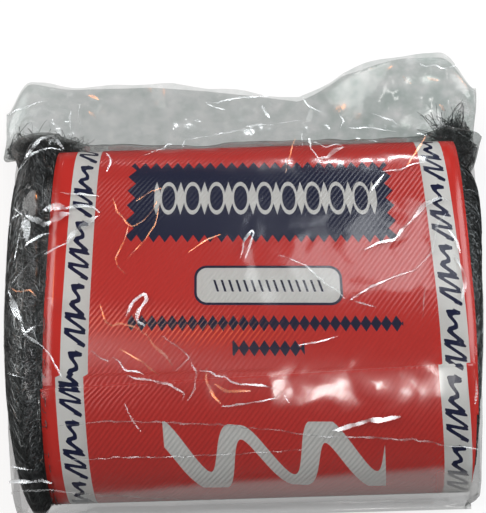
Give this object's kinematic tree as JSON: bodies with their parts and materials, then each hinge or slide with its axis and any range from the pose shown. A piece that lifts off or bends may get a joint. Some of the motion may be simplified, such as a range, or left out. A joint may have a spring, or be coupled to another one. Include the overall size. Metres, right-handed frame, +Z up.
{
  "type": "steel wool bundle",
  "caption": "Flattened roll of dark steel wool held by a glued red paper band, packed in a loose clear film bag with a crumpled open tail behind it.",
  "frame": {"origin": "middle of the bag's outline, on the flat underside that it rests on", "axes": "+X along the bundle and the width of the paper band, +Y back towards the bag's open mouth, +Z up"},
  "size_m": [0.1724, 0.1651, 0.049],
  "materials": {
    "wool": "fine dark steel fibres, loosely matted",
    "paper": "thin paper glazed on one side, red with navy and cream print",
    "film": "thin clear crinkled polythene film, glossy"
  },
  "bodies": {
    "root": {"steel_wool": "wool", "paper_band": "paper", "clear_bag": "film"}
  },
  "joints": []
}
